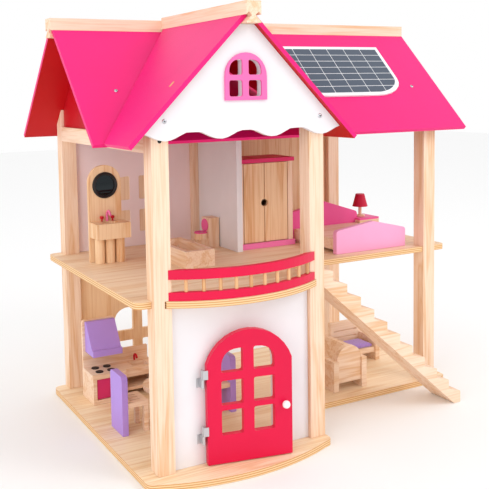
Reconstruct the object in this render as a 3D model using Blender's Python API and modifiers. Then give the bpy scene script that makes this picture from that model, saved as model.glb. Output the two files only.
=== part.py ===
"""Wooden dollhouse on six posts: two storeys, a cross-gabled roof, a balcony, a stair and loose furniture.

Lengths are in millimetres in the house's own coordinates and are turned into metres by MM.
X runs along the house, Y runs from the front to the back and Z is up. X = 0 is the left face of
the left posts, Y = 0 is the front face of the front posts and Z = 0 is the underside of the base.
"""

import math

import bpy
import bmesh

MM = 0.001
GAP = 0.3
ROOT2 = math.sqrt(2.0)

POST = 24.0
PLATE = 9.0
ROOF_BOARD = 6.0
WALL = 6.0

CENTRE_POST_X = 239.0
RIGHT_POST_X = 538.0
WING_POST_Y = 98.0
BACK_POST_Y = 364.0

FLOOR_LOW = 230.0
FLOOR_TOP = FLOOR_LOW + PLATE
WALL_TOP = 452.0
PLATE_RIGHT = 588.0
PLATE_BACK = BACK_POST_Y + POST

RIDGE_Y = 242.5
RIDGE_Z = 610.5
MAIN_EAVE_Y = 71.5
ROOF_LEFT = -50.0
ROOF_RIGHT = 606.0
GABLE_X = 135.0
GABLE_Z = 614.0
GABLE_FRONT_Y = -18.0
GABLE_EAVE_HALF = 173.0
ROOF_DROP = ROOF_BOARD * ROOT2

BASE_BOW_Y = -44.0
FLOOR_BOW = 34.7
BOW_LEFT = 16.5
BOW_RIGHT = 249.5

RIDGE_BAR_LEFT = -54.0
RIDGE_BAR_HALF = 11.5
CROSS_BAR_HALF = 11.0
BAR_LIP = 10.0
BAR_HEIGHT = 28.0

DOOR_AXIS = (66.0, -1.0)
DOOR_AJAR = 10.5
DOOR_LOW = 10.5
DOOR_WIDTH = 121.0
DOOR_SPRING = 146.0
DOOR_TOP = 190.0
DOOR_EDGE = 4.7
DOOR_FRONT = -3.2

PANE_CORNER = 3.0
POCKET = 2.0
BALUSTERS = 10
STEPS = 11
STEP_RUN = 25.0
STEP_FALL = 22.6

for item in list(bpy.data.objects):
    bpy.data.objects.remove(item, do_unlink=True)

house = bpy.data.collections.new("dollhouse")
helpers = bpy.data.collections.new("dollhouse_helpers")
bpy.context.scene.collection.children.link(house)
bpy.context.scene.collection.children.link(helpers)

# The house stands with the middle of its outline over the origin.
origin = bpy.data.objects.new("house_frame", None)
house.objects.link(origin)
origin.location = (
    -(RIDGE_BAR_LEFT + ROOF_RIGHT) / 2 * MM,
    -(BASE_BOW_Y + 2 * RIDGE_Y - MAIN_EAVE_Y) / 2 * MM,
    0.0,
)


def linear(value):
    value = value / 255.0
    return value / 12.92 if value <= 0.04045 else ((value + 0.055) / 1.055) ** 2.4


def finish(name, red, green, blue, roughness, metallic=0.0):
    made = bpy.data.materials.new(name)
    made.use_nodes = True
    shader = made.node_tree.nodes["Principled BSDF"]
    shader.inputs["Base Color"].default_value = (linear(red), linear(green), linear(blue), 1.0)
    shader.inputs["Roughness"].default_value = roughness
    shader.inputs["Metallic"].default_value = metallic
    return made


PINE = finish("pine", 240, 205, 160, 0.55)
PLYWOOD = finish("plywood", 243, 214, 172, 0.55)
WHITE = finish("white_paint", 245, 245, 247, 0.4)
CRIMSON = finish("crimson_paint", 225, 8, 70, 0.35)
ROOF_PINK = finish("roof_pink_paint", 235, 30, 110, 0.4)
SOFT_PINK = finish("soft_pink_paint", 245, 130, 190, 0.4)
PALE_PINK = finish("pale_pink_paint", 250, 180, 215, 0.4)
PURPLE = finish("purple_paint", 185, 145, 225, 0.4)
RED = finish("dark_red_paint", 190, 5, 25, 0.45)
STEEL = finish("steel", 190, 190, 190, 0.3, 1.0)


def place(name, data, material, parent=None, collection=None):
    """Links a new object, parented to the house frame unless another parent is given."""
    thing = bpy.data.objects.new(name, data)
    (collection or house).objects.link(thing)
    thing.parent = parent or origin
    if material:
        thing.data.materials.append(material)
    return thing


TURN = {"XY": (0.0, 0.0, 0.0), "XZ": (math.pi / 2, 0.0, 0.0), "YZ": (math.pi / 2, 0.0, math.pi / 2)}


def plane_location(plane, middle):
    if plane == "XY":
        return (0.0, 0.0, middle * MM)
    if plane == "XZ":
        return (0.0, middle * MM, 0.0)
    return (middle * MM, 0.0, 0.0)


def board(name, outline, thickness, material, holes=(), parent=None):
    """A flat board lying in its own XY plane, centred on its thickness, with optional holes."""
    curve = bpy.data.curves.new(name, "CURVE")
    curve.dimensions = "2D"
    curve.fill_mode = "BOTH"
    curve.extrude = thickness / 2 * MM
    for loop in (outline, *holes):
        spline = curve.splines.new("POLY")
        spline.points.add(len(loop) - 1)
        for point, (first, second) in zip(spline.points, loop):
            point.co = (first * MM, second * MM, 0.0, 1.0)
        spline.use_cyclic_u = True
    return place(name, curve, material, parent)


def slab(name, plane, outline, low, high, material, holes=(), parent=None):
    """A board in the named plane of the house, from low to high across that plane."""
    thing = board(name, outline, high - low, material, holes, parent)
    thing.rotation_euler = TURN[plane]
    thing.location = plane_location(plane, (low + high) / 2)
    return thing


def as_mesh(thing):
    """Turns a board into a welded mesh object, so that it can be cut or joined."""
    bpy.context.view_layer.update()
    graph = bpy.context.evaluated_depsgraph_get()
    mesh = bpy.data.meshes.new_from_object(thing.evaluated_get(graph))
    shape = bmesh.new()
    shape.from_mesh(mesh)
    bmesh.ops.remove_doubles(shape, verts=shape.verts, dist=0.00001)
    bmesh.ops.recalc_face_normals(shape, faces=shape.faces)
    shape.to_mesh(mesh)
    shape.free()
    name = thing.name
    material = thing.data.materials[0] if thing.data.materials else None
    mesh.materials.clear()
    parent = thing.parent
    location = thing.location.copy()
    rotation = thing.rotation_euler.copy()
    bpy.data.objects.remove(thing, do_unlink=True)
    made = place(name, mesh, material, parent)
    made.location = location
    made.rotation_euler = rotation
    return made


def box(name, low, high, material, parent=None, collection=None):
    """A box between two opposite corners."""
    size = [(b - a) * MM for a, b in zip(low, high)]
    middle = [(a + b) / 2 * MM for a, b in zip(low, high)]
    shape = bmesh.new()
    bmesh.ops.create_cube(shape, size=1.0)
    bmesh.ops.scale(shape, vec=size, verts=shape.verts)
    mesh = bpy.data.meshes.new(name)
    shape.to_mesh(mesh)
    shape.free()
    thing = place(name, mesh, material, parent, collection)
    thing.location = middle
    return thing


def rod(name, centre, radius, low, high, material, parent=None, collection=None, segments=16):
    """An upright cylinder."""
    shape = bmesh.new()
    bmesh.ops.create_cone(
        shape,
        cap_ends=True,
        segments=segments,
        radius1=radius * MM,
        radius2=radius * MM,
        depth=(high - low) * MM,
    )
    mesh = bpy.data.meshes.new(name)
    shape.to_mesh(mesh)
    shape.free()
    mesh.shade_smooth()
    mesh.set_sharp_from_angle(angle=math.radians(40))
    thing = place(name, mesh, material, parent, collection)
    thing.location = (centre[0] * MM, centre[1] * MM, (low + high) / 2 * MM)
    return thing


def turned(name, centre, profile, material, parent=None, steps=20):
    """A turned piece; the profile of (radius, height) pairs runs from the top down."""
    mesh = bpy.data.meshes.new(name)
    points = [(radius * MM, 0.0, height * MM) for radius, height in profile]
    mesh.from_pydata(points, [(k, k + 1) for k in range(len(points) - 1)], [])
    thing = place(name, mesh, material, parent)
    thing.location = (centre[0] * MM, centre[1] * MM, 0.0)
    screw = thing.modifiers.new("turn", "SCREW")
    screw.axis = "Z"
    screw.angle = 2 * math.pi
    screw.steps = steps
    screw.render_steps = steps
    screw.use_merge_vertices = True
    screw.merge_threshold = 0.00001
    screw.use_smooth_shade = False
    return thing


def combine(thing, others, operation):
    """Adds to or cuts from a mesh; the other shapes become hidden helpers."""
    for other in others:
        if other.name in house.objects:
            house.objects.unlink(other)
        if other.name not in helpers.objects:
            helpers.objects.link(other)
        other.hide_render = True
        other.display_type = "WIRE"
        modifier = thing.modifiers.new(operation.lower(), "BOOLEAN")
        modifier.operation = operation
        modifier.object = other
    return thing


def built(name, material, boxes, extra=(), cuts=()):
    """A piece glued up from overlapping blocks, less its cuts. It stays one body."""
    first = box(name, boxes[0][0], boxes[0][1], material)
    others = [
        box(f"{name}_block_{index}", low, high, None, collection=helpers)
        for index, (low, high) in enumerate(boxes[1:])
    ]
    combine(first, [*others, *extra], "UNION")
    return combine(first, cuts, "DIFFERENCE")


def arc(centre_x, centre_y, radius, start, end, steps):
    """Points along an arc, with the angles in degrees."""
    points = []
    for index in range(steps + 1):
        angle = math.radians(start + (end - start) * index / steps)
        points.append((centre_x + radius * math.cos(angle), centre_y + radius * math.sin(angle)))
    return points


def bow(left, right, chord_y, sagitta, steps):
    """Points of a shallow arc that bulges towards the front, from left to right."""
    half = (right - left) / 2
    radius = (half * half + sagitta * sagitta) / (2 * sagitta)
    spread = math.degrees(math.asin(half / radius))
    middle = (left + right) / 2
    return arc(middle, chord_y + radius - sagitta, radius, 270 - spread, 270 + spread, steps)


def fillet(before, corner, after, radius, steps=5):
    """Points of a rounded corner between its two neighbours."""
    if radius == 0:
        return [(corner[0], corner[1])]
    ways = []
    for other in (before, after):
        reach = math.hypot(other[0] - corner[0], other[1] - corner[1])
        ways.append(((other[0] - corner[0]) / reach, (other[1] - corner[1]) / reach))
    cosine = ways[0][0] * ways[1][0] + ways[0][1] * ways[1][1]
    back = radius / math.tan(math.acos(max(-1.0, min(1.0, cosine))) / 2)
    start = (corner[0] + ways[0][0] * back, corner[1] + ways[0][1] * back)
    end = (corner[0] + ways[1][0] * back, corner[1] + ways[1][1] * back)
    points = []
    for step in range(steps + 1):
        t = step / steps
        weights = ((1 - t) ** 2, 2 * t * (1 - t), t * t)
        x = weights[0] * start[0] + weights[1] * corner[0] + weights[2] * end[0]
        y = weights[0] * start[1] + weights[1] * corner[1] + weights[2] * end[1]
        points.append((x, y))
    return points


def rounded(corners):
    """An outline whose corners (x, y, radius) are filleted."""
    points = []
    for index, corner in enumerate(corners):
        after = corners[(index + 1) % len(corners)]
        points += fillet(corners[index - 1], corner, after, corner[2])
    return points


def rectangle(left, bottom, right, top):
    return [(left, bottom), (right, bottom), (right, top), (left, top)]


def pane(left, bottom, right, top, round_corner=None):
    """A soft-cornered window pane; its top left or top right corner may be a quarter round."""
    corners = [(left, bottom), (right, bottom), (right, top), (left, top)]
    big = {"left": 3, "right": 2}.get(round_corner)
    points = []
    for index, corner in enumerate(corners):
        after = corners[(index + 1) % 4]
        if index == big:
            radius = min(right - left, top - bottom) * 0.82
            points += fillet(corners[index - 1], corner, after, radius, 7)
        else:
            points += fillet(corners[index - 1], corner, after, PANE_CORNER, 3)
    return points


def window(columns, rows):
    """The panes of a window whose top outer corners are quarter rounds."""
    panes = []
    for column, (left, right) in enumerate(columns):
        for row, (bottom, top) in enumerate(rows):
            corner = None
            if row == len(rows) - 1:
                corner = ("left", "right")[column]
            panes.append(pane(left, bottom, right, top, corner))
    return panes


def front_under(y):
    """Height of the underside of the main roof's front slope."""
    return RIDGE_Z - (RIDGE_Y - y) - ROOF_DROP - 0.5


def back_under(y):
    return RIDGE_Z - (y - RIDGE_Y) - ROOF_DROP - 0.5


def gable_under(x):
    return GABLE_Z - abs(x - GABLE_X) - ROOF_DROP - 0.5


# ---- base and upper floor ----

base_outline = bow(-9, 251, -18, -BASE_BOW_Y - 18, 20)
base_corners = [
    (251, -18, 0),
    (265, -14, 10),
    (265, 96, 6),
    (PLATE_RIGHT, 96, 12),
    (PLATE_RIGHT, PLATE_BACK, 14),
    (-21, PLATE_BACK, 14),
    (-21, -14, 12),
    (-9, -18, 0),
]
for index in range(1, len(base_corners) - 1):
    base_outline += fillet(*base_corners[index - 1 : index + 2], base_corners[index][2])
slab("base_plate", "XY", base_outline, 0, PLATE, PLYWOOD)

right_of_centre = CENTRE_POST_X + POST
floor_outline = bow(BOW_LEFT, BOW_RIGHT, -GAP, FLOOR_BOW, 20)
floor_outline += [
    (246.5, -GAP),
    (246.5, POST + GAP),
    (right_of_centre + GAP, POST + GAP),
    (right_of_centre + GAP, 100),
    (RIGHT_POST_X - GAP, 100),
    (RIGHT_POST_X - GAP, WING_POST_Y + POST + GAP),
    (RIGHT_POST_X + POST + GAP, WING_POST_Y + POST + GAP),
    (RIGHT_POST_X + POST + GAP, 100),
]
floor_outline += fillet((RIGHT_POST_X + POST, 100), (PLATE_RIGHT, 100), (PLATE_RIGHT, PLATE_BACK), 11)
floor_outline += fillet((PLATE_RIGHT, 100), (PLATE_RIGHT, PLATE_BACK), (0, PLATE_BACK), 12)
for post_left in (RIGHT_POST_X, CENTRE_POST_X, 0.0):
    floor_outline += [
        (post_left + POST + GAP, PLATE_BACK),
        (post_left + POST + GAP, BACK_POST_Y - GAP),
        (post_left - GAP, BACK_POST_Y - GAP),
        (post_left - GAP, PLATE_BACK),
    ]
floor_outline += fillet((0, PLATE_BACK), (-22, PLATE_BACK), (-22, 10), 12)
floor_outline += fillet((-22, PLATE_BACK), (-22, 10), (0, 10), 14)
floor_outline += [(-GAP, 10), (-GAP, POST + GAP), (BOW_LEFT, POST + GAP)]
slab("upper_floor", "XY", floor_outline, FLOOR_LOW, FLOOR_TOP, PLYWOOD)

# ---- posts, rail and walls ----

foot = PLATE + GAP
notch_low = FLOOR_LOW - GAP
notch_high = FLOOR_TOP + GAP
left_notch = 14.2
right_notch = 249.3
post_b = [
    (0, foot),
    (POST, foot),
    (POST, notch_low),
    (left_notch, notch_low),
    (left_notch, notch_high),
    (POST, notch_high),
    (POST, gable_under(POST)),
    (0, gable_under(0)),
]
slab("post_left_front", "XZ", post_b, 0, POST, PINE)
post_c = [
    (right_of_centre, foot),
    (right_of_centre, gable_under(right_of_centre)),
    (CENTRE_POST_X, gable_under(CENTRE_POST_X)),
    (CENTRE_POST_X, notch_high),
    (right_notch, notch_high),
    (right_notch, notch_low),
    (CENTRE_POST_X, notch_low),
    (CENTRE_POST_X, foot),
]
slab("post_centre_front", "XZ", post_c, 0, POST, PINE)


def straight_post(name, left, front, under):
    """A square post whose top is cut to the slope of the roof above it."""
    back = front + POST
    outline = [(front, foot), (back, foot), (back, under(back)), (front, under(front))]
    slab(name, "YZ", outline, left, left + POST, PINE)


straight_post("post_wing_front", RIGHT_POST_X, WING_POST_Y, front_under)
straight_post("post_left_back", 0.0, BACK_POST_Y, back_under)
straight_post("post_centre_back", CENTRE_POST_X, BACK_POST_Y, back_under)
straight_post("post_wing_back", RIGHT_POST_X, BACK_POST_Y, back_under)

RAIL_LOW = 429.0
box(
    "side_rail_left",
    (0, POST + GAP, RAIL_LOW),
    (POST, BACK_POST_Y - GAP, WALL_TOP),
    PINE,
)

wall_left = POST + GAP
wall_right = CENTRE_POST_X - GAP
window_columns = ((86, 122), (139, 175))
window_rows = ((25, 64), (82, 123))
lower_rows = [(low + PLATE, high + PLATE) for low, high in window_rows]
upper_rows = [(low + FLOOR_TOP, high + FLOOR_TOP) for low, high in window_rows]
slab(
    "lower_back_wall",
    "XZ",
    rectangle(wall_left, foot, wall_right, FLOOR_LOW - GAP),
    374,
    374 + WALL,
    PLYWOOD,
    window(window_columns, lower_rows),
)
# The upper window is only a set of shallow pockets in the wall's face.
upper_wall = box("upper_back_wall", (wall_left, 374, notch_high), (wall_right, 374 + WALL, WALL_TOP), WHITE)
pockets = [
    as_mesh(slab(f"pocket_{index}", "XZ", outline, 370, 374 + POCKET, None))
    for index, outline in enumerate(window(window_columns, upper_rows))
]
combine(upper_wall, pockets, "DIFFERENCE")
slab(
    "bedroom_back_wall",
    "XZ",
    rectangle(right_of_centre + GAP, notch_high, RIGHT_POST_X - GAP, WALL_TOP),
    374,
    374 + WALL,
    PLYWOOD,
)
box("partition_wall", (251, 225, notch_high), (261, 363, WALL_TOP), WHITE)

opening = [(78, foot), (78, 140)]
opening += arc(129, 140 + 42 - 51.8, 51.8, 169, 11, 10)
opening += [(180, 140), (180, foot)]
front_wall = [(wall_left, foot), *opening, (wall_right, foot)]
front_wall += [(wall_right, FLOOR_LOW - GAP), (wall_left, FLOOR_LOW - GAP)]
slab("front_wall", "XZ", front_wall, 7, 7 + WALL, WHITE)

# ---- front door, standing ajar on its two hinges ----

door_axis = bpy.data.objects.new("front_door_axis", None)
house.objects.link(door_axis)
door_axis.parent = origin
door_axis.location = (DOOR_AXIS[0] * MM, DOOR_AXIS[1] * MM, 0.0)
door_axis.rotation_euler = (0.0, 0.0, -math.radians(DOOR_AJAR))

door_rise = DOOR_TOP - DOOR_SPRING
door_half = DOOR_WIDTH / 2
door_radius = (door_half**2 + door_rise**2) / (2 * door_rise)
door_spread = math.degrees(math.asin(door_half / door_radius))
door_centre = DOOR_EDGE + door_half
door_outline = [(DOOR_EDGE, DOOR_LOW), (DOOR_EDGE + DOOR_WIDTH, DOOR_LOW)]
door_outline += arc(
    door_centre, DOOR_TOP - door_radius, door_radius, 90 - door_spread, 90 + door_spread, 14
)
door_columns = [(DOOR_EDGE + 20, DOOR_EDGE + 51), (DOOR_EDGE + 66, DOOR_EDGE + 96)]
door_rows = [(49, 83), (90, 123.5), (134.5, 166)]
slab(
    "front_door",
    "XZ",
    door_outline,
    DOOR_FRONT,
    DOOR_FRONT + PLATE,
    CRIMSON,
    window(door_columns, door_rows),
    parent=door_axis,
)
knob_profile = [(0, 11.5), (2.6, 10.9), (4.7, 8.8), (5.5, 6), (4.7, 3.2), (2.6, 1.2), (2.2, 0.3), (0, 0.3)]
knob = turned("door_knob", (0, 0), knob_profile, WHITE, parent=door_axis, steps=16)
knob.location = ((DOOR_EDGE + 110) * MM, DOOR_FRONT * MM, 82 * MM)
knob.rotation_euler = (math.pi / 2, 0.0, 0.0)

KNUCKLE = 2.3
LEAF_REACH = 6.0
frame_leaf = [(x + DOOR_AXIS[0], y + DOOR_AXIS[1]) for x, y in arc(0, 0, KNUCKLE, 120, 420, 14)]
frame_leaf += [
    (DOOR_AXIS[0] + 1.15, 6.7),
    (DOOR_AXIS[0] - LEAF_REACH, 6.7),
    (DOOR_AXIS[0] - LEAF_REACH, 5.6),
    (DOOR_AXIS[0] - 1.15, 5.6),
]
door_leaf = arc(0, 0, KNUCKLE, -60, 240, 14)
door_leaf += [(-1.15, -4.6), (LEAF_REACH, -4.6), (LEAF_REACH, -3.5), (1.15, -3.5)]
for level, middle in (("lower", 51.0), ("upper", 128.0)):
    slab(f"hinge_{level}_frame_leaf", "XY", frame_leaf, middle - 12.5, middle - 0.2, STEEL)
    slab(
        f"hinge_{level}_door_leaf",
        "XY",
        door_leaf,
        middle + 0.2,
        middle + 12.5,
        STEEL,
        parent=door_axis,
    )

# ---- balcony ----

bow_half = (BOW_RIGHT - BOW_LEFT) / 2
bow_radius = (bow_half**2 + FLOOR_BOW**2) / (2 * FLOOR_BOW)
bow_x = (BOW_LEFT + BOW_RIGHT) / 2
bow_y = -GAP + bow_radius - FLOOR_BOW
RAIL_OUT = 1.5
RAIL_DEPTH = 8.0
rail_back = -0.4


def rail_arc(radius, steps, backwards=False):
    """The part of a circle round the bow's centre that lies in front of the posts."""
    spread = math.degrees(math.acos((bow_y - rail_back) / radius))
    points = arc(bow_x, bow_y, radius, 270 - spread, 270 + spread, steps)
    return points[::-1] if backwards else points


rail_outer = bow_radius - RAIL_OUT
rail_outline = rail_arc(rail_outer, 22) + rail_arc(rail_outer - RAIL_DEPTH, 22, backwards=True)
slab("balcony_bottom_rail", "XY", rail_outline, 239.3, 250.3, CRIMSON)
slab("balcony_top_rail", "XY", rail_outline, 267.0, 279.3, CRIMSON)
baluster_radius = rail_outer - RAIL_DEPTH / 2
first_baluster = -92.0
last_baluster = 98.0
for number in range(BALUSTERS):
    offset = first_baluster + (last_baluster - first_baluster) * number / (BALUSTERS - 1)
    angle = math.asin(offset / baluster_radius)
    spot = (bow_x + offset, bow_y - baluster_radius * math.cos(angle))
    rod(f"baluster_{number + 1:02d}", spot, 2.5, 250.6, 266.7, PINE, segments=12)

# ---- roof ----

gable_board_top = GABLE_Z - BAR_LIP - CROSS_BAR_HALF - 0.4
gable_apex = GABLE_Z - ROOF_DROP - 0.5
scallops = []
left_tip = gable_apex - 455.5
for index in range(41):
    x = GABLE_X + left_tip * (1 - index / 20)
    wave = 6.0 * math.cos(2 * math.pi * (x - GABLE_X) / 79.0)
    scallops.append((x, min(451.0 + wave, 455.0)))
gable_outline = scallops + [
    (GABLE_X - gable_apex + gable_board_top, gable_board_top),
    (GABLE_X + gable_apex - gable_board_top, gable_board_top),
]
gable_panes = window(((107, 127), (136, 156)), ((499, 520), (527, 547)))
slab("gable_board", "XZ", gable_outline, -9.3, -0.4, WHITE, gable_panes)
frame_outline = [(101, 494), (164, 494), *arc(132.5, 524.5, 31.5, 0, 180, 14)]
slab("gable_window_frame", "XZ", frame_outline, -12.6, -9.6, SOFT_PINK, gable_panes)

slope = (RIDGE_Y - 8.2 - MAIN_EAVE_Y) * ROOT2
half_board = ROOF_BOARD / 2


def main_panel(name, outline, material, back=False):
    """A main roof board; its outline is (X, distance up the slope from the eave)."""
    eave_z = RIDGE_Z - (RIDGE_Y - MAIN_EAVE_Y)
    thing = board(name, outline, ROOF_BOARD, material)
    inward = half_board / ROOT2
    if back:
        thing.location = (0.0, (2 * RIDGE_Y - MAIN_EAVE_Y - inward) * MM, (eave_z - inward) * MM)
        thing.rotation_euler = (math.pi / 4, 0.0, math.pi)
    else:
        thing.location = (0.0, (MAIN_EAVE_Y + inward) * MM, (eave_z - inward) * MM)
        thing.rotation_euler = (math.pi / 4, 0.0, 0.0)
    return thing


rail_notch = (WALL_TOP + 1.0 + ROOF_DROP - (RIDGE_Z - RIDGE_Y + MAIN_EAVE_Y)) * ROOT2
front_outline = [
    (ROOF_LEFT, 0),
    (-1, 0),
    (-1, rail_notch),
    (POST + 1, rail_notch),
    (POST + 1, 0),
    (ROOF_RIGHT, 0),
    (ROOF_RIGHT, slope),
    (ROOF_LEFT, slope),
]
main_panel("roof_front_panel", front_outline, ROOF_PINK)
back_outline = rectangle(-ROOF_RIGHT, 0, -ROOF_LEFT, slope)
main_panel("roof_back_panel", back_outline, ROOF_PINK, back=True)

gable_reach = (GABLE_EAVE_HALF - 7.7) * ROOT2


def valley_y(distance):
    """How far back a gable board reaches at this distance up its slope, measured on its underside."""
    across = GABLE_EAVE_HALF - distance / ROOT2
    under = GABLE_Z - across - ROOF_DROP
    return under + RIDGE_Y - RIDGE_Z - 0.6


gable_outline_left = [
    (0, GABLE_FRONT_Y),
    (gable_reach, GABLE_FRONT_Y),
    (gable_reach, valley_y(gable_reach)),
    (0, valley_y(0)),
]
eave_height = GABLE_Z - GABLE_EAVE_HALF
left_panel = board("gable_roof_left", gable_outline_left, ROOF_BOARD, ROOF_PINK)
left_panel.rotation_euler = (0.0, -math.pi / 4, 0.0)
left_panel.location = (
    (GABLE_X - GABLE_EAVE_HALF + half_board / ROOT2) * MM,
    0.0,
    (eave_height - half_board / ROOT2) * MM,
)
right_outline = [(-distance, y) for distance, y in reversed(gable_outline_left)]
right_panel = board("gable_roof_right", right_outline, ROOF_BOARD, ROOF_PINK)
right_panel.rotation_euler = (0.0, math.pi / 4, 0.0)
right_panel.location = (
    (GABLE_X + GABLE_EAVE_HALF - half_board / ROOT2) * MM,
    0.0,
    (eave_height - half_board / ROOT2) * MM,
)


def ridge_profile(half, low):
    """Section of a ridge bar: a square bar with a slanting slot for each roof board."""
    step_in = 3.8
    slot = (ROOF_BOARD + 2 * GAP) / ROOT2
    lip = BAR_LIP + GAP * ROOT2
    right = [
        (half, 0),
        (half, lip - 2 * slot),
        (half - step_in - slot, lip + step_in - slot),
        (half - step_in, lip + step_in),
        (half, lip),
        (half, BAR_HEIGHT),
    ]
    left = [(-x, z) for x, z in reversed(right)]
    return [(x, low + z) for x, z in right + left]


main_low = RIDGE_Z - RIDGE_BAR_HALF - BAR_LIP
main_profile = [(RIDGE_Y + y, z) for y, z in ridge_profile(RIDGE_BAR_HALF, main_low)]
slab("main_ridge_bar", "YZ", main_profile, RIDGE_BAR_LEFT, ROOF_RIGHT, PINE)
cross_low = GABLE_Z - CROSS_BAR_HALF - BAR_LIP
cross_profile = [(GABLE_X + x, z) for x, z in ridge_profile(CROSS_BAR_HALF, cross_low)]
cross_back = RIDGE_Y - RIDGE_BAR_HALF - GAP
cross_bar = as_mesh(slab("cross_ridge_bar", "XZ", cross_profile, -30, cross_back, PINE))
# The lower back end is sawn off along the slope of the main roof.
saw = box("cross_bar_saw", (-20, 0, -20), (20, 60, 20), None, collection=helpers)
saw.rotation_euler = (math.pi / 4, 0.0, 0.0)
saw.location = (GABLE_X * MM, 230 * MM, (230 + RIDGE_Z - RIDGE_Y + 0.6) * MM)
saw_shift = 20 * MM
saw.location[1] += saw_shift / ROOT2
saw.location[2] -= saw_shift / ROOT2
combine(cross_bar, [saw], "DIFFERENCE")

SOLAR_LEFT = 305.0
SOLAR_RIGHT = 525.0
SOLAR_LOW = 76.0
SOLAR_TOP = 192.0
SOLAR_BOARD = 3.0
solar_outline = [(SOLAR_LEFT, SOLAR_TOP), (SOLAR_LEFT, SOLAR_LOW + 38)]
solar_outline += [
    (SOLAR_LEFT + 60 - 60 * math.cos(a), SOLAR_LOW + 38 - 38 * math.sin(a))
    for a in [math.radians(15 * k) for k in range(1, 7)]
]
solar_outline += [
    (SOLAR_RIGHT - 60 + 60 * math.sin(a), SOLAR_LOW + 38 - 38 * math.cos(a))
    for a in [math.radians(15 * k) for k in range(0, 7)]
]
solar_outline += [(SOLAR_RIGHT, SOLAR_TOP)]
solar = main_panel("solar_panel", solar_outline, WHITE)
solar.data.extrude = SOLAR_BOARD / 2 * MM
lift = half_board + GAP + SOLAR_BOARD / 2
solar.location[1] -= lift / ROOT2 * MM
solar.location[2] += lift / ROOT2 * MM


def end_board(name, left, front, back, low):
    """A board that closes the roof's end above the rail, cut to both slopes."""
    top = main_low - 0.4
    front_meet = top + RIDGE_Y - RIDGE_Z + ROOF_DROP + 0.5
    back_meet = RIDGE_Z + RIDGE_Y - ROOF_DROP - 0.5 - top
    outline = [(front, low), (back, low), (back, back_under(back)), (back_meet, top), (front_meet, top)]
    if front_under(front) > low + 1:
        outline.append((front, front_under(front)))
    slab(name, "YZ", outline, left, left + ROOF_BOARD, RED)


rail_top = WALL_TOP + GAP
front_start = rail_top + RIDGE_Y - RIDGE_Z + ROOF_DROP + 0.5
end_board("roof_end_board_left", 4.5, front_start, BACK_POST_Y - GAP, rail_top)
end_board("roof_end_board_right", 547.0, WING_POST_Y + POST + GAP, BACK_POST_Y - GAP, rail_top)

# ---- stair ----

first_x = 288.0
first_z = 244.0
riser = STEP_FALL - 8.0
stair_left = right_of_centre + 2 * GAP
stair = [(stair_left, first_z + 6.5), (first_x, first_z)]
for number in range(STEPS):
    nose_x = first_x + STEP_RUN * number
    nose_z = first_z - STEP_FALL * number
    if number > 0:
        stair.append((nose_x, nose_z))
    if number < STEPS - 1:
        stair.append((nose_x, nose_z - riser))
last_x = first_x + STEP_RUN * (STEPS - 1)
stair += [(last_x, 0.0), (last_x - 13, 0.0), (stair_left + 8, 222), (stair_left, 222)]
slab("stair", "XZ", stair, 12, 65, PINE)

# ---- upstairs furniture ----

up = FLOOR_TOP + GAP
sink_board = as_mesh(
    slab("sink_back", "XZ", [(14, up), (68, up), (68, 366), *arc(41, 366, 27, 0, 180, 14)], 279, 287, None)
)
sink_legs = [
    rod(f"sink_leg_{index}", (25 + 17 * index, 266), 7.6, up, 282, None, collection=helpers)
    for index in range(3)
]
sink_bowl = rod("sink_bowl", (42, 261), 13, 291, 320, None, collection=helpers)
built("sink_unit", PINE, [((14, 245, 280), (70, 280, 304))], [sink_board, *sink_legs], [sink_bowl])

toilet_bowl = rod("toilet_bowl", (220, 298), 12, 254, 264, None, collection=helpers)
toilet_well = rod("toilet_well", (220, 298), 7, 257, 270, None, collection=helpers)
built(
    "toilet",
    PINE,
    [((213, 289, up), (231, 307, 256)), ((229, 285, up), (249, 311, 290))],
    [toilet_bowl],
    [toilet_well],
)

tub_well = box("tub_well", (127, 161, 248), (161, 262, 280), None, collection=helpers)
built("bathtub", PINE, [((119, 152, up), (169, 271, 266))], (), [tub_well])

WARDROBE_FRONT = 238.0
wardrobe_room = box("wardrobe_room", (270.5, 230, 248.4), (359.5, 297, 384.6), None, collection=helpers)
built(
    "wardrobe_case",
    PINE,
    [
        ((266, WARDROBE_FRONT, 246), (369, 303, 386)),
        ((265, WARDROBE_FRONT - 4, up), (371, 303, 248.3)),
        ((265, WARDROBE_FRONT - 3, 384.7), (371, 303, 391.5)),
    ],
    (),
    [wardrobe_room],
)


def wardrobe_door(name, hinge_x, width, turn):
    """An inset door hinged at its outer front corner, with half of the shared finger hole."""
    axis = bpy.data.objects.new(f"{name}_axis", None)
    house.objects.link(axis)
    axis.parent = origin
    axis.location = (hinge_x * MM, WARDROBE_FRONT * MM, 0.0)
    outline = [(0, 249.5), (width, 249.5)]
    outline += [(x, z) for x, z in arc(width, 316, 6, 270, 90, 8)]
    outline += [(width, 383.5), (0, 383.5)]
    outline = [(turn * x, z) for x, z in outline]
    slab(name, "XZ", outline, 0, 5.5, PINE, parent=axis)


wardrobe_door("wardrobe_door_left", 272.0, 39.4, 1)
wardrobe_door("wardrobe_door_right", 358.0, 45.1, -1)

foot_outline = rounded(
    [(376, up, 0), (519, up, 0), (519, 271, 6), (452, 287, 4), (376, 277, 6)]
)
bed_foot = as_mesh(slab("bed_foot", "XZ", foot_outline, 122, 131, None))
built("bed_frame", PALE_PINK, [((381, 130, 244), (514, 252, 262)), ((384, 200, up), (511, 250, 246))], [bed_foot])
head_outline = rounded(
    [(372, up, 0), (520, up, 0), (520, 282, 8), (446, 306, 4), (372, 290, 8)]
)
bed_head = as_mesh(slab("bed_head", "XZ", head_outline, 253, 262, None))
built("bed_headboard", SOFT_PINK, [((516, 240, up), (560, 285, 270))], [bed_head])

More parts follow.
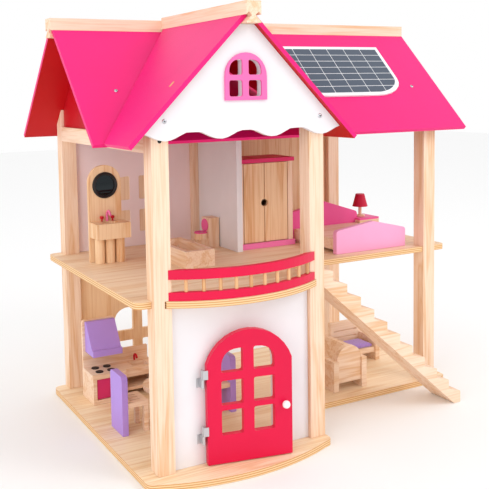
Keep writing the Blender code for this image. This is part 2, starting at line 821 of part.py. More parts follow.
lamp_profile = [(0, 312), (8, 312), (14, 289), (3, 289), (3, 274), (9, 273), (9, 270.4), (0, 270.4)]
turned("bedside_lamp", (534, 262), lamp_profile, CRIMSON)

# ---- downstairs furniture ----

down = PLATE + GAP
oven_room = box("oven_room", (16, 260, 16), (61, 280, 50), None, collection=helpers)
kitchen_bowl = box("kitchen_bowl", (84, 286, 50), (112, 310, 70), None, collection=helpers)
hood_board = rounded([(10, down, 0), (67, down, 0), (67, 136, 6), (10, 136, 6)])
hood_back = as_mesh(slab("hood_back", "XZ", hood_board, 320, 326, None))
built(
    "kitchen_unit",
    PINE,
    [
        ((10, 273, down), (67, 321, 57)),
        ((65, 278, 43), (124, 321, 57)),
        ((65, 280, 20), (121, 321, 25)),
        ((118, 280, down), (123.6, 321, 55)),
        ((60, 320, down), (124, 325.6, 78)),
    ],
    [hood_back],
    [oven_room, kitchen_bowl],
)
hood = [(319.6, 84), (319.6, 134), (313, 134), (287, 94), (281, 94), (281, 84)]
slab("kitchen_hood", "YZ", hood, 14, 64, PURPLE)

table_profile = [(0, 64), (36, 64), (36, 57), (6, 57), (6, 16), (20, 14), (20, down), (0, down)]
turned("dining_table", (92, 172), table_profile, PINE, steps=28)


def chair(name, back_x, facing):
    """A chair with a round-cornered back board and a slatted seat in front of it."""
    outline = rounded([(139, down, 0), (185, down, 0), (185, 98, 8), (139, 98, 8)])
    back = as_mesh(slab(f"{name}_back", "YZ", outline, back_x, back_x + 9, None))
    near = back_x + (8 if facing > 0 else -33)
    far = near + 34
    leg = far - 7 if facing > 0 else near
    slots = []
    for index in range(3):
        slot_y = 151 + 10 * index
        low = (near + 9, slot_y, 40)
        high = (far - 9, slot_y + 2.5, 60)
        slots.append(box(f"{name}_slot_{index}", low, high, None, collection=helpers))
    built(
        name,
        PINE,
        [
            ((near, 141, 49), (far, 183, 56)),
            ((leg, 142, down), (leg + 7, 149, 51)),
            ((leg, 175, down), (leg + 7, 182, 51)),
        ],
        [back],
        slots,
    )


chair("dining_chair_left", 6, 1)
chair("dining_chair_right", 186, -1)

arm_outline = [(379, 22), (430, 22), *arc(404.5, 57.5, 25.5, 0, 180, 14)]
arm_back = as_mesh(slab("arm_back", "XZ", arm_outline, 127, 136, None))
built(
    "armchair",
    PINE,
    [
        ((371, 124, down), (381, 177, 60)),
        ((428, 124, down), (438, 177, 60)),
        ((379, 128, 26), (430, 172, 36)),
    ],
    [arm_back],
)

sofa_slots = []
for index in range(2):
    low = (478, 260, 44 + 12 * index)
    high = (529, 280, 47 + 12 * index)
    sofa_slots.append(box(f"sofa_slot_{index}", low, high, None, collection=helpers))
built(
    "sofa",
    PINE,
    [
        ((463, 219, down), (472, 278, 50)),
        ((535, 219, down), (544, 278, 50)),
        ((470, 222, 24), (537, 276, 33)),
        ((470, 268, 30), (537, 276, 74)),
    ],
    (),
    sofa_slots,
)
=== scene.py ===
import math

import bmesh
import bpy
from mathutils import Matrix, Vector


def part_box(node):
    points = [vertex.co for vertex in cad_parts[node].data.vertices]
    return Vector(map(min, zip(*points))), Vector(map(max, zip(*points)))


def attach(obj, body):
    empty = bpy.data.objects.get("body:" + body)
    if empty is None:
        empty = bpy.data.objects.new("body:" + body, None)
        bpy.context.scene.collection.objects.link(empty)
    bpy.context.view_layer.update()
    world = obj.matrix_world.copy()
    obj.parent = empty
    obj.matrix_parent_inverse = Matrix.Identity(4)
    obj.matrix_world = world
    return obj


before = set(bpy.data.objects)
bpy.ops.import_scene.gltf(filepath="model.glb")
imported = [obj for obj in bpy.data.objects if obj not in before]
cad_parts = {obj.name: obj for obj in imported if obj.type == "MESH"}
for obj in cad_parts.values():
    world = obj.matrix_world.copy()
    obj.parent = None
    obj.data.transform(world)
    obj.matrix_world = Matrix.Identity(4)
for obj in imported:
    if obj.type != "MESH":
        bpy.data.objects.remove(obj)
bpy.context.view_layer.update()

# Places below are in millimetres in the house's own coordinates: X and Y from the outer corner
# of the left front post, Z from the ground.
MM = 0.001
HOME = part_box("post_left_front")[0]
ROOT2 = math.sqrt(2.0)
BEVEL_WIDTH = 0.6 * MM


def at(x, y, z):
    return Vector((HOME[0] + x * MM, HOME[1] + y * MM, z * MM))


def node_box(name):
    low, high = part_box(name)
    return Vector(low), Vector(high)


# ---- materials ----


def linear(value):
    value = value / 255.0
    return value / 12.92 if value <= 0.04045 else ((value + 0.055) / 1.055) ** 2.4


def rgba(colour):
    return (*(linear(value) for value in colour), 1.0)


PINE_LIGHT = (248, 218, 192)
PINE_DARK = (236, 194, 154)
BIRCH_LIGHT = (252, 228, 196)
BIRCH_DARK = (242, 208, 166)
WHITE = (236, 233, 236)
PINKISH_WHITE = (250, 232, 234)
CRIMSON = (222, 6, 66)
ROOF_PINK = (238, 24, 122)
# The roof's inner face: the pink darkened to dark red as painted shade.
ROOF_UNDER_SHADE = (196, 2, 16)
SOFT_PINK = (244, 112, 178)
HEAD_PINK = (246, 96, 165)
PALE_PINK = (250, 172, 212)
PURPLE = (182, 146, 226)
OVEN_PINK = (218, 52, 112)
BLACK = (14, 13, 15)
CELL_BLUE = (54, 68, 88)

AXES = {"X": 0, "Y": 1, "Z": 2}


class Finish:
    """A Principled material whose colour is layered from wood and paint, each kept to its own region."""

    def __init__(self, name, roughness=0.45, coat=0.0, metallic=0.0):
        self.material = bpy.data.materials.new(name)
        self.material.use_nodes = True
        self.tree = self.material.node_tree
        self.shader = self.tree.nodes["Principled BSDF"]
        self.shader.inputs["Roughness"].default_value = roughness
        self.shader.inputs["Metallic"].default_value = metallic
        self.shader.inputs["Coat Weight"].default_value = coat
        self.shader.inputs["Coat Roughness"].default_value = 0.3
        self.shader.inputs["Specular IOR Level"].default_value = 0.3
        self.place = self.add("ShaderNodeTexCoord")
        self.colour = None
        self.height = None
        self.roughness = roughness

    def add(self, kind, **settings):
        made = self.tree.nodes.new(kind)
        for key, value in settings.items():
            setattr(made, key, value)
        return made

    def link(self, start, end):
        self.tree.links.new(start, end)

    def noise(self, scale, detail, stretch=(1, 1, 1), shift=0.0, distortion=0.0):
        mapping = self.add("ShaderNodeMapping")
        mapping.inputs["Scale"].default_value = stretch
        mapping.inputs["Location"].default_value = (shift, shift * 0.7, shift * 1.3)
        self.link(self.place.outputs["Object"], mapping.inputs["Vector"])
        texture = self.add("ShaderNodeTexNoise")
        texture.inputs["Scale"].default_value = scale
        texture.inputs["Detail"].default_value = detail
        texture.inputs["Distortion"].default_value = distortion
        self.link(mapping.outputs["Vector"], texture.inputs["Vector"])
        return texture.outputs["Fac"]

    def ramp(self, factor, stops):
        ramp = self.add("ShaderNodeValToRGB")
        elements = ramp.color_ramp.elements
        while len(elements) < len(stops):
            elements.new(0.5)
        for element, (position, colour) in zip(elements, stops):
            element.position = position
            element.color = rgba(colour)
        self.link(factor, ramp.inputs["Fac"])
        return ramp.outputs["Color"]

    def mix(self, factor, first, second, blend="MIX"):
        mixer = self.add("ShaderNodeMix", data_type="RGBA", blend_type=blend)
        if isinstance(factor, float):
            mixer.inputs["Factor"].default_value = factor
        else:
            self.link(factor, mixer.inputs["Factor"])
        self.link(first, mixer.inputs["A"])
        self.link(second, mixer.inputs["B"])
        return mixer.outputs["Result"]

    def maths(self, operation, first, second):
        node = self.add("ShaderNodeMath", operation=operation)
        for socket, value in zip(node.inputs, (first, second)):
            if isinstance(value, (int, float)):
                socket.default_value = value
            else:
                self.link(value, socket)
        return node.outputs[0]

    def coordinate(self, axis):
        split = self.add("ShaderNodeSeparateXYZ")
        self.link(self.place.outputs["Object"], split.inputs[0])
        return split.outputs[AXES[axis]]

    def beyond(self, axis, value):
        return self.maths("GREATER_THAN", self.coordinate(axis), value)

    def before(self, axis, value):
        return self.maths("LESS_THAN", self.coordinate(axis), value)

    def facing(self, direction, limit=0.9):
        dot = self.add("ShaderNodeVectorMath", operation="DOT_PRODUCT")
        self.link(self.place.outputs["Normal"], dot.inputs[0])
        dot.inputs[1].default_value = Vector(direction).normalized()
        return self.maths("GREATER_THAN", dot.outputs["Value"], limit)

    def both(self, first, second):
        return self.maths("MULTIPLY", first, second)

    def wood(self, light, dark, axis, seed):
        """Growth rings stretched along the grain, with fine fibres over them."""
        broad = [1.0, 1.0, 1.0]
        broad[AXES[axis]] = 0.07
        fine = [1.0, 1.0, 1.0]
        fine[AXES[axis]] = 0.03
        rings = self.noise(52, 3, broad, seed, 0.7)
        fibres = self.noise(420, 3, fine, seed + 3)
        colour = self.ramp(rings, [(0.34, light), (0.5, light), (0.58, dark), (0.66, light)])
        veins = self.ramp(fibres, [(0.36, (238, 222, 204)), (0.56, (255, 255, 255))])
        return self.mix(0.55, colour, veins, "MULTIPLY"), fibres

    def paint(self, colour, seed):
        """Sprayed paint: even, with a faint cloudiness and the grain just telling through it."""
        cloud = self.noise(14, 3, (1, 1, 1), seed)
        darker = tuple(value * 0.985 for value in colour)
        lighter = tuple(min(255, value * 1.01) for value in colour)
        peel = self.noise(620, 2, (1, 1, 1), seed)
        return self.ramp(cloud, [(0.35, darker), (0.65, lighter)]), peel

    def layer(self, pair, mask=None):
        colour, height = pair
        if self.colour is None:
            self.colour, self.height = colour, height
            return
        self.colour = self.mix(mask, self.colour, colour)

    def done(self, bump=0.12, depth=0.0002):
        self.link(self.colour, self.shader.inputs["Base Color"])
        if self.height is not None:
            bumps = self.add("ShaderNodeBump")
            bumps.inputs["Strength"].default_value = bump
            bumps.inputs["Distance"].default_value = depth
            self.link(self.height, bumps.inputs["Height"])
            self.link(bumps.outputs["Normal"], self.shader.inputs["Normal"])
            spread = self.add("ShaderNodeMapRange")
            spread.inputs["To Min"].default_value = self.roughness - 0.06
            spread.inputs["To Max"].default_value = self.roughness + 0.08
            self.link(self.height, spread.inputs["Value"])
            self.link(spread.outputs["Result"], self.shader.inputs["Roughness"])
        return self.material


def pine(name, axis, seed, light=PINE_LIGHT, dark=PINE_DARK):
    made = Finish(f"{name}_pine", 0.5)
    made.layer(made.wood(light, dark, axis, seed))
    return made.done()


def painted(name, colour, seed=0.0, roughness=0.4):
    made = Finish(f"{name}_paint", roughness)
    made.layer(made.paint(colour, seed))
    return made.done(0.05)


def plate_finish(name, seed):
    """Birch plywood lying flat: figured faces and an edge of thin layers."""
    made = Finish(f"{name}_plywood", 0.5)
    made.layer(made.wood(BIRCH_LIGHT, BIRCH_DARK, "X", seed))
    stripes = made.maths("SINE", made.maths("MULTIPLY", made.coordinate("Z"), 2 * math.pi / 0.003), 0)
    edge = made.ramp(stripes, [(0.0, (214, 160, 104)), (0.5, (246, 212, 164))])
    up = made.facing((0, 0, 1), 0.5)
    down = made.facing((0, 0, -1), 0.5)
    side = made.maths("SUBTRACT", 1.0, made.maths("MAXIMUM", up, down))
    made.layer((edge, None), side)
    return made.done()


def roof_finish(name, inward, seed):
    """Pink outside and on the edges, with painted shade on the inner face: it is coloured dark red."""
    made = Finish(f"{name}_paint", 0.42)
    made.layer(made.paint(ROOF_PINK, seed))
    # Painted shade: every face turned inwards gets the dark red.
    made.layer(made.paint(ROOF_UNDER_SHADE, seed), made.facing(inward))
    return made.done(0.06)


def metal(name, colour, roughness=0.3):
    made = Finish(f"{name}_metal", roughness, metallic=1.0)
    made.layer(made.paint(colour, 2.0))
    return made.done(0.08)


def assign(name, material):
    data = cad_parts[name].data
    if not data.materials:
        data.materials.append(material)
    for index in range(len(data.materials)):
        data.materials[index] = material


POST_NAMES = [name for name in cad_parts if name.startswith("post_")]
for number, name in enumerate(sorted(POST_NAMES)):
    assign(name, pine(name, "Z", 1.7 * number))
for number, name in enumerate(("side_rail_left", "cross_ridge_bar", "bathtub")):
    assign(name, pine(name, "Y", 9 + number))
for number, name in enumerate(("main_ridge_bar", "stair", "sofa", "armchair", "kitchen_unit")):
    assign(name, pine(name, "X", 13 + number))
for number, name in enumerate(("sink_unit", "wardrobe_door_left", "wardrobe_door_right")):
    assign(name, pine(name, "Z", 21 + number, (244, 208, 168), (228, 176, 126)))
assign("dining_table", pine("dining_table", "X", 25))
for number in range(10):
    name = f"baluster_{number + 1:02d}"
    assign(name, pine(name, "Z", 30 + number, (232, 188, 140), (208, 156, 106)))
for number, name in enumerate(("base_plate", "upper_floor")):
    assign(name, plate_finish(name, 40 + number))
for number, name in enumerate(("lower_back_wall", "bedroom_back_wall")):
    assign(name, pine(name, "Z", 45 + number, (248, 214, 174), (236, 192, 144)))

assign("front_wall", painted("front_wall", WHITE, 1))
upper_wall = Finish("upper_back_wall_finish", 0.4)
upper_wall.layer(upper_wall.paint(PINKISH_WHITE, 2))
pocket_floor = upper_wall.both(upper_wall.beyond("Y", at(0, 375.8, 0).y), upper_wall.facing((0, -1, 0)))
upper_wall.layer(upper_wall.wood((250, 222, 190), (242, 206, 166), "Z", 6), pocket_floor)
assign("upper_back_wall", upper_wall.done(0.05))
assign("partition_wall", painted("partition_wall", WHITE, 3))
assign("gable_board", painted("gable_board", WHITE, 4))
assign("solar_panel", painted("solar_panel", (240, 241, 244), 5))
assign("door_knob", painted("door_knob", (250, 248, 248), 6, 0.25))
assign("front_door", painted("front_door", CRIMSON, 7, 0.36))
assign("balcony_top_rail", painted("balcony_top_rail", CRIMSON, 8, 0.36))
assign("balcony_bottom_rail", painted("balcony_bottom_rail", CRIMSON, 9, 0.36))
assign("gable_window_frame", painted("gable_window_frame", SOFT_PINK, 10))
assign("kitchen_hood", painted("kitchen_hood", PURPLE, 11))
for name in ("roof_end_board_left", "roof_end_board_right"):
    assign(name, painted(name, (196, 8, 26), 12))
assign("roof_front_panel", roof_finish("roof_front_panel", (0, 1, -1), 1))
assign("roof_back_panel", roof_finish("roof_back_panel", (0, -1, -1), 2))
assign("gable_roof_left", roof_finish("gable_roof_left", (1, 0, -1), 3))
assign("gable_roof_right", roof_finish("gable_roof_right", (-1, 0, -1), 4))
steel = metal("hinge", (205, 205, 208))
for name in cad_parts:
    if name.startswith("hinge_"):
        assign(name, steel)

wardrobe = Finish("wardrobe_case_finish", 0.45)
wardrobe.layer(wardrobe.wood(PINE_LIGHT, PINE_DARK, "Z", 27))
wardrobe.layer(wardrobe.paint((226, 44, 108), 2), wardrobe.beyond("Z", 0.3845))
wardrobe.layer(wardrobe.paint((248, 128, 186), 3), wardrobe.before("Z", 0.2484))
assign("wardrobe_case", wardrobe.done())

bed = Finish("bed_frame_finish", 0.45)
bed.layer(bed.wood(PINE_LIGHT, PINE_DARK, "X", 29))
bed.layer(bed.paint(PALE_PINK, 4), bed.before("Y", at(0, 131.2, 0).y))
assign("bed_frame", bed.done())

head = Finish("bed_headboard_finish", 0.45)
head.layer(head.paint(HEAD_PINK, 5))
head.layer(
    head.wood(PINE_LIGHT, PINE_DARK, "X", 31),
    head.both(head.beyond("X", at(515.8, 0, 0).x), head.before("Z", 0.2665)),
)
assign("bed_headboard", head.done())

assign("toilet", pine("toilet", "Z", 33))

lamp = Finish("bedside_lamp_finish", 0.42)
lamp.layer(lamp.paint((206, 8, 60), 7))
lamp.layer(lamp.wood(PINE_LIGHT, PINE_DARK, "Z", 35), lamp.before("Z", 0.2885))
assign("bedside_lamp", lamp.done())


def chair_finish(name, back_left, back_right):
    made = Finish(f"{name}_finish", 0.45)
    made.layer(made.wood(PINE_LIGHT, PINE_DARK, "X", back_left / 10))
    inside = made.both(
        made.beyond("X", at(back_left - 0.2, 0, 0).x), made.before("X", at(back_right + 0.2, 0, 0).x)
    )
    made.layer(made.paint(PURPLE, back_left), inside)
    assign(name, made.done())


chair_finish("dining_chair_left", 6, 15)
chair_finish("dining_chair_right", 186, 195)

for name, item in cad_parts.items():
    if name.startswith("hinge_"):
        continue
    bevel = item.modifiers.new("softened_edges", "BEVEL")
    bevel.width = BEVEL_WIDTH
    bevel.segments = 2
    bevel.limit_method = "ANGLE"
    bevel.angle_limit = math.radians(40)
    bevel.use_clamp_overlap = False
    bevel.harden_normals = False

# ---- small pieces ----


def add_piece(name, shape, material, body, matrix=None, smooth=True):
    """Links a finished bmesh as a piece that rides on a body."""
    mesh = bpy.data.meshes.new(name)
    bmesh.ops.recalc_face_normals(shape, faces=shape.faces)
    shape.to_mesh(mesh)
    shape.free()
    mesh.materials.append(material)
    if smooth:
        mesh.shade_smooth()
        mesh.set_sharp_from_angle(angle=math.radians(35))
    piece = bpy.data.objects.new(name, mesh)
    bpy.context.scene.collection.objects.link(piece)
    if matrix is not None:
        piece.matrix_world = matrix
    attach(piece, body)
    return piece


def turned_shape(profile, steps=32):
    """A closed turned body from (radius, height) pairs, top to bottom, in millimetres."""
    shape = bmesh.new()
    points = [shape.verts.new((radius * MM, 0, height * MM)) for radius, height in profile]
    edges = [shape.edges.new(pair) for pair in zip(points, points[1:])]
    bmesh.ops.spin(
        shape,
        geom=points + edges,
        cent=(0, 0, 0),
        axis=(0, 0, 1),
        angle=2 * math.pi,
        steps=steps,
        use_duplicate=False,
    )
    bmesh.ops.remove_doubles(shape, verts=shape.verts, dist=0.00001)
    return shape


def turned_piece(name, profile, material, body, where, direction=(0, 0, 1), steps=32):
    matrix = Matrix.Translation(where) @ Vector(direction).to_track_quat("Z", "Y").to_matrix().to_4x4()
    return add_piece(name, turned_shape(profile, steps), material, body, matrix)


def tube_piece(name, points, radius, material, body):
    """A bent rod through the given points, with round ends."""
    curve = bpy.data.curves.new(name, "CURVE")
    curve.dimensions = "3D"
    curve.bevel_depth = radius * MM
    curve.bevel_resolution = 4
    curve.resolution_u = 8
    curve.use_fill_caps = True
    spline = curve.splines.new("BEZIER")
    spline.bezier_points.add(len(points) - 1)
    for handle, point in zip(spline.bezier_points, points):
        handle.co = point
        handle.handle_left_type = "AUTO"
        handle.handle_right_type = "AUTO"
    curve.materials.append(material)
    piece = bpy.data.objects.new(name, curve)
    bpy.context.scene.collection.objects.link(piece)
    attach(piece, body)
    return piece


def block_shape(size, bevel):
    """A block with rounded edges, centred, in millimetres."""
    shape = bmesh.new()
    bmesh.ops.create_cube(shape, size=1.0)
    bmesh.ops.scale(shape, vec=[value * MM for value in size], verts=shape.verts)
    bmesh.ops.bevel(
        shape, geom=list(shape.edges), offset=bevel * MM, segments=3, profile=0.5, affect="EDGES"
    )
    return shape


screw_steel = metal("screw", (200, 200, 205), 0.25)
# Near-black for the screw recesses and the post's screw hole: painted shade where those hollows are dark.
recess_shade = painted("screw_recess_shade", (30, 28, 28), 0.3)


def screw_piece(name, where, direction, body, radius=3.6):
    """A pan-head screw whose crossed recess is two near-black blocks on its crown: painted shade."""
    crown = [(0, 1.4), (radius * 0.55, 1.25), (radius * 0.85, 0.85)]
    profile = crown + [(radius, 0.2), (radius, 0.05), (0, 0.05)]
    turned_piece(name, profile, screw_steel, body, where, direction, 24)
    turn = Vector(direction).to_track_quat("Z", "Y").to_matrix().to_4x4()
    # Two near-black blocks across the crown stand in for the crossed recess: painted shade.
    for index, angle in enumerate((0.4, 0.4 + math.pi / 2)):
        matrix = Matrix.Translation(where) @ turn @ Matrix.Rotation(angle, 4, "Z")
        matrix = matrix @ Matrix.Translation((0, 0, 1.28 * MM))
        add_piece(
            f"{name}_slot_{index}", block_shape((radius * 1.0, 0.6, 0.36), 0.1), recess_shade, body, matrix
        )


front_face = node_box("gable_board")[0].y
for index, x in enumerate((15, 251)):
    spot = at(x, 0, 470)
    spot.y = front_face
    screw_piece(f"gable_screw_{index}", spot, (0, -1, 0), "house", 3.2)

panel_low = node_box("roof_front_panel")[0]
ROOF_BOARD = 6.0


def on_front_slope(x, up_slope, lift=0.0):
    """A point over the main roof's front slope, up the slope from its eave."""
    corner = Vector((HOME[0] + x * MM, panel_low.y, panel_low.z + ROOF_BOARD / ROOT2 * MM))
    along = up_slope * MM / ROOT2
    away = lift * MM / ROOT2
    return corner + Vector((0, along - away, along + away))


screw_piece("roof_screw_left", on_front_slope(11, 99), (0, -1, 1), "house", 3.0)
screw_piece("roof_screw_right", on_front_slope(549, 97), (0, -1, 1), "house", 3.0)
slot_low = node_box("gable_roof_left")[0]
slot_turn = Vector((-1, 0, 1)).to_track_quat("Z", "Y").to_matrix().to_4x4()
slot_spot = Vector((HOME[0] + 37.3 * MM, HOME[1] + 14 * MM, 0))
slot_spot.z = slot_low.z + ROOF_BOARD / ROOT2 * MM + (slot_spot.x - slot_low.x)
add_piece(
    "gable_roof_peg",
    block_shape((4.0, 9.0, 0.7), 0.3),
    pine("gable_roof_peg", "Y", 2.2, (226, 176, 120), (196, 140, 90)),
    "house",
    Matrix.Translation(slot_spot) @ slot_turn,
)
# A thin near-black disc on the post stands in for a screw hole: painted shade.
post_hole = at(12, 0, 445)
turned_piece(
    "post_screw_hole_shade",
    [(0, 0.06), (1.6, 0.06), (2.4, 0.22), (2.8, 0.05), (0, 0.03)],
    recess_shade,
    "house",
    post_hole,
    (0, -1, 0),
)

# The solar cells: small tiles in rows, clipped to the board's rounded lower corners.
solar_low, solar_high = node_box("solar_panel")
solar_left = (solar_low.x - HOME[0]) / MM
solar_right = (solar_high.x - HOME[0]) / MM
SOLAR_THICK = 3.0
solar_length = (solar_high.z - solar_low.z) / MM * ROOT2 - SOLAR_THICK
solar_base = Vector((HOME[0], solar_low.y, solar_low.z + SOLAR_THICK / ROOT2 * MM))
CELL_ROWS = 7
CELL_COLUMNS = 6
CELL_MARGIN = 6.0
CELL_GAP = 1.6


def solar_outline():
    """The board's outline, drawn in by the margin: (X, distance up the slope)."""
    left = solar_left + CELL_MARGIN
    right = solar_right - CELL_MARGIN
    low = CELL_MARGIN
    top = solar_length - CELL_MARGIN
    points = [(left, top), (left, low + 36)]
    for step in range(1, 9):
        angle = math.pi / 2 * step / 8
        points.append((left + 58 - 58 * math.cos(angle), low + 36 - 36 * math.sin(angle)))
    for step in range(0, 9):
        angle = math.pi / 2 * step / 8
        points.append((right - 58 + 58 * math.sin(angle), low + 36 - 36 * math.cos(angle)))
    points.append((right, top))
    return points


def clip(polygon, edge_start, edge_end):
    """The part of a polygon to the left of a line."""
    kept = []
    ex, ey = edge_end[0] - edge_start[0], edge_end[1] - edge_start[1]

    def side(point):
        return ex * (point[1] - edge_start[1]) - ey * (point[0] - edge_start[0])

    for index, current in enumerate(polygon):
        previous = polygon[index - 1]
        here, there = side(current), side(previous)
        if (here >= 0) != (there >= 0):
            t = there / (there - here)
            kept.append(
                (previous[0] + t * (current[0] - previous[0]), previous[1] + t * (current[1] - previous[1]))
            )
        if here >= 0:
            kept.append(current)
    return kept


def solar_cells():
    outline = solar_outline()
    shape = bmesh.new()
    left, right = outline[0][0], outline[-1][0]
    low, top = CELL_MARGIN, solar_length - CELL_MARGIN
    wide = (right - left) / CELL_COLUMNS
    tall = (top - low) / CELL_ROWS
    for column in range(CELL_COLUMNS):
        for row in range(CELL_ROWS):
            x0 = left + column * wide + CELL_GAP / 2
            x1 = left + (column + 1) * wide - CELL_GAP / 2
            y0 = low + row * tall + CELL_GAP / 2
            y1 = low + (row + 1) * tall - CELL_GAP / 2
            tile = [(x0, y0), (x1, y0), (x1, y1), (x0, y1)]
            for index, point in enumerate(outline):
                tile = clip(tile, outline[index - 1], point)
                if len(tile) < 3:
                    break
            if len(tile) < 3:
                continue
            lower, upper = [], []
            for x, s in tile:
                along = s * MM / ROOT2
                for ring, lift in ((lower, 0.05), (upper, 0.45)):
                    away = lift * MM / ROOT2
                    point = solar_base + Vector((x * MM, along - away, along + away))
                    ring.append(shape.verts.new(point))
            shape.faces.new(upper)
            shape.faces.new(lower[::-1])
            for k in range(len(tile)):
                shape.faces.new((lower[k - 1], lower[k], upper[k], upper[k - 1]))
    return shape


cell_finish = Finish("solar_cell_finish", 0.22, coat=0.6)
cell_finish.layer(cell_finish.paint(CELL_BLUE, 3))
add_piece("solar_cells", solar_cells(), cell_finish.done(0.04), "house", smooth=False)

# ---- washbasin: mirror, tap and drain ----

board_front = at(0, 279, 0).y
mirror_rim = painted("mirror_rim", (36, 34, 36), 1.0, 0.3)
mirror_glass = Finish("mirror_glass", 0.06, metallic=1.0)
mirror_glass.layer(mirror_glass.paint((44, 48, 50), 1.0))
mirror_spot = at(41, 0, 361)
mirror_spot.y = board_front
turned_piece(
    "mirror_rim",
    [(16.2, 1.6), (18.6, 2.6), (20.5, 1.8), (21, 0.2), (16.2, 0.2), (16.2, 1.6)],
    mirror_rim,
    "sink",
    mirror_spot,
    (0, -1, 0),
    48,
)
turned_piece(
    "mirror_glass",
    [(0, 1.5), (14, 1.4), (16.1, 1.0), (16.1, 0.2), (0, 0.2)],
    mirror_glass.done(0.02),
    "sink",
    mirror_spot,
    (0, -1, 0),
    48,
)
tap_pink = painted("tap_pink", (244, 120, 170), 1.0, 0.3)
tap_red = painted("tap_red", (200, 14, 40), 2.0, 0.3)
BASIN_TOP = 304.0
tube_piece(
    "basin_tap",
    [
        at(42, 275, BASIN_TOP + 0.4),
        at(42, 275, BASIN_TOP + 12),
        at(42, 268, BASIN_TOP + 17),
        at(42, 260, BASIN_TOP + 11),
    ],
    1.9,
    tap_pink,
    "sink",
)
for index, x in enumerate((33, 51)):
    turned_piece(
        f"basin_handle_{index}",
        [(0, 9), (2.6, 8.6), (3.4, 6.4), (2.6, 4.4), (1.3, 3.6), (1.3, 0.8), (2.4, 0.3), (0, 0.3)],
        tap_red,
        "sink",
        at(x, 275, BASIN_TOP),
    )
turned_piece(
    "basin_drain",
    [(0, 0.6), (1.6, 0.7), (2.4, 0.9), (3, 0.3), (0, 0.2)],
    screw_steel,
    "sink",
    at(42, 261, 291),
)

# ---- toilet seat and lid ----


def oval_shape(half_x, half_y, thick, hole=0.0):
    """A flat oval with softened edges, or an oval ring when hole is above zero."""
    shape = bmesh.new()
    steps = 32
    sections = [(hole, 0.2), (0.95, 0.0), (1.0, 0.3), (1.0, 0.7), (0.95, 1.0), (hole, 0.8)]
    rings = []
    for scale, height in sections:
        ring = []
        for step in range(steps):
            angle = 2 * math.pi * step / steps
            ring.append(
                shape.verts.new(
                    (
                        half_x * MM * scale * math.cos(angle),
                        half_y * MM * scale * math.sin(angle),
                        thick * MM * height,
                    )
                )
            )
        rings.append(ring)
    for lower, upper in zip(rings, rings[1:]):
        for k in range(steps):
            shape.faces.new((lower[k - 1], lower[k], upper[k], upper[k - 1]))
    for k in range(steps):
        shape.faces.new((rings[-1][k - 1], rings[-1][k], rings[0][k], rings[0][k - 1]))
    return shape


seat_pink = painted("toilet_seat_pink", (240, 96, 160), 1.0, 0.35)
add_piece(
    "toilet_seat_ring",
    oval_shape(11.5, 11.5, 2.4, 0.62),
    seat_pink,
    "toilet_seat",
    Matrix.Translation(at(220, 298, 264.1)),
)
lid_matrix = Matrix.Translation(at(228.9, 298, 277)) @ Matrix.Rotation(-math.pi / 2, 4, "Y")
add_piece("toilet_lid", oval_shape(11, 11, 2.2, 0.02), seat_pink, "toilet_seat", lid_matrix)

# ---- kitchen: oven door, hot plates and tap ----

add_piece(
    "oven_door",
    block_shape((43.4, 4.0, 32.4), 1.0),
    painted("oven_door_paint", OVEN_PINK, 1.0, 0.35),
    "kitchen",
    Matrix.Translation(at(38.5, 277, 33)),
)
hot_black = painted("hot_plate", BLACK, 1.0, 0.3)
HOB_HEIGHT = 57.0
for index, (x, y) in enumerate(((26, 288), (46, 288), (26, 308), (46, 308))):
    turned_piece(
        f"hot_plate_{index}",
        [(0, 1.0), (3, 1.1), (5.2, 1.5), (6.2, 1.2), (6.5, 0.2), (0, 0.15)],
        hot_black,
        "kitchen",
        at(x, y, HOB_HEIGHT),
    )
tube_piece(
    "kitchen_tap",
    [
        at(98, 315, HOB_HEIGHT + 0.3),
        at(98, 315, HOB_HEIGHT + 8),
        at(98, 309, HOB_HEIGHT + 11),
        at(98, 303, HOB_HEIGHT + 7),
    ],
    1.8,
    tap_red,
    "kitchen",
)

# ---- cushions ----


def cushion_shape(size, crown):
    """A crowned pad whose sides draw in between its corners."""
    shape = bmesh.new()
    bmesh.ops.create_grid(shape, x_segments=14, y_segments=14, size=0.5)
    half_x, half_y = size[0] / 2, size[1] / 2
    for vert in list(shape.verts):
        u, v = vert.co.x * 2, vert.co.y * 2
        pull = 1.0 - 0.07 * (1 - abs(u) ** 2) * abs(v) ** 3
        pull_x = 1.0 - 0.07 * (1 - abs(v) ** 2) * abs(u) ** 3
        puff = (1 - u**4) ** 0.5 * (1 - v**4) ** 0.5 if abs(u) < 1 and abs(v) < 1 else 0.0
        x = u * half_x * pull_x
        y = v * half_y * pull
        vert.co = (x * MM, y * MM, (size[2] / 2 + crown * puff) * MM)
    extruded = bmesh.ops.extrude_face_region(shape, geom=list(shape.faces))
    for item in extruded["geom"]:
        if isinstance(item, bmesh.types.BMVert):
            item.co.z = min(item.co.z - size[2] * MM, -size[2] / 2 * MM + 0.0002)
    return shape


def fabric(name, colour):
    made = Finish(f"{name}_cloth", 0.85)
    weave = made.noise(1400, 2, (1, 1, 1), 1.0)
    shade = made.ramp(weave, [(0.35, tuple(value * 0.86 for value in colour)), (0.65, colour)])
    made.layer((shade, weave))
    made.shader.inputs["Sheen Weight"].default_value = 0.3
    return made.done(0.4, 0.0003)


purple_cloth = fabric("cushion_purple", PURPLE)


def cushion(name, size, crown, body, where):
    matrix = Matrix.Translation(where)
    piece = add_piece(name, cushion_shape(size, crown), purple_cloth, body, matrix)
    smooth = piece.modifiers.new("soft", "SUBSURF")
    smooth.levels = 1
    smooth.render_levels = 1
    return piece


cushion("sofa_cushion", (58, 38, 5), 3.0, "settee", at(503.5, 244, 35.8))

# ---- floor, light and camera ----

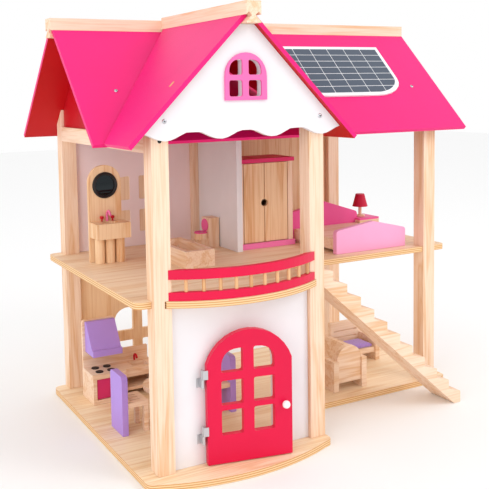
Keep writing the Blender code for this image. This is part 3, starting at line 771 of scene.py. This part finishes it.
ground_mesh = bpy.data.meshes.new("studio_floor")
ground_shape = bmesh.new()
bmesh.ops.create_grid(ground_shape, x_segments=1, y_segments=1, size=6.0)
ground_shape.to_mesh(ground_mesh)
ground_shape.free()
ground = bpy.data.objects.new("studio_floor", ground_mesh)
ground.location.z = -0.0005
bpy.context.scene.collection.objects.link(ground)
ground_finish = Finish("studio_floor", 0.9)
ground_finish.shader.inputs["Base Color"].default_value = (0.94, 0.94, 0.94, 1.0)
ground_mesh.materials.append(ground_finish.material)

world = bpy.data.worlds.new("studio")
bpy.context.scene.world = world
world.use_nodes = True
background = world.node_tree.nodes["Background"]
background.inputs["Color"].default_value = (1.0, 1.0, 1.0, 1.0)
background.inputs["Strength"].default_value = 1.0


def area_light(name, where, aim, size, watts):
    data = bpy.data.lights.new(name, "AREA")
    data.shape = "DISK"
    data.size = size
    data.energy = watts
    lamp_object = bpy.data.objects.new(name, data)
    bpy.context.scene.collection.objects.link(lamp_object)
    lamp_object.location = where
    lamp_object.rotation_euler = (Vector(aim) - Vector(where)).to_track_quat("-Z", "Y").to_euler()


area_light("key_light", (1.5, -1.9, 1.9), (0, 0, 0.3), 1.2, 17)
area_light("fill_light", (-1.9, -1.2, 1.0), (0, 0, 0.3), 1.6, 11)

CAMERA_PLACE = (-406.7, -929.0, 506.9)
CAMERA_TURN = math.radians(27.457)
CAMERA_TILT = math.radians(4.756)
CAMERA_ROLL = math.radians(-1.081)
forward = Vector(
    (
        math.sin(CAMERA_TURN) * math.cos(CAMERA_TILT),
        math.cos(CAMERA_TURN) * math.cos(CAMERA_TILT),
        -math.sin(CAMERA_TILT),
    )
)
level = Vector((math.cos(CAMERA_TURN), -math.sin(CAMERA_TURN), 0.0))
upward = level.cross(forward)
right = level * math.cos(CAMERA_ROLL) + upward * math.sin(CAMERA_ROLL)
up = -level * math.sin(CAMERA_ROLL) + upward * math.cos(CAMERA_ROLL)
camera_data = bpy.data.cameras.new("camera")
camera_data.sensor_width = 36.0
camera_data.lens = 59.7
camera_data.shift_x = 0.0808
camera_data.shift_y = -0.176
camera = bpy.data.objects.new("camera", camera_data)
bpy.context.scene.collection.objects.link(camera)
camera.matrix_world = Matrix.Translation(at(*CAMERA_PLACE)) @ Matrix(
    (
        (right.x, up.x, -forward.x, 0),
        (right.y, up.y, -forward.y, 0),
        (right.z, up.z, -forward.z, 0),
        (0, 0, 0, 1),
    )
)
bpy.context.scene.camera = camera
bpy.context.scene.view_settings.view_transform = "Standard"
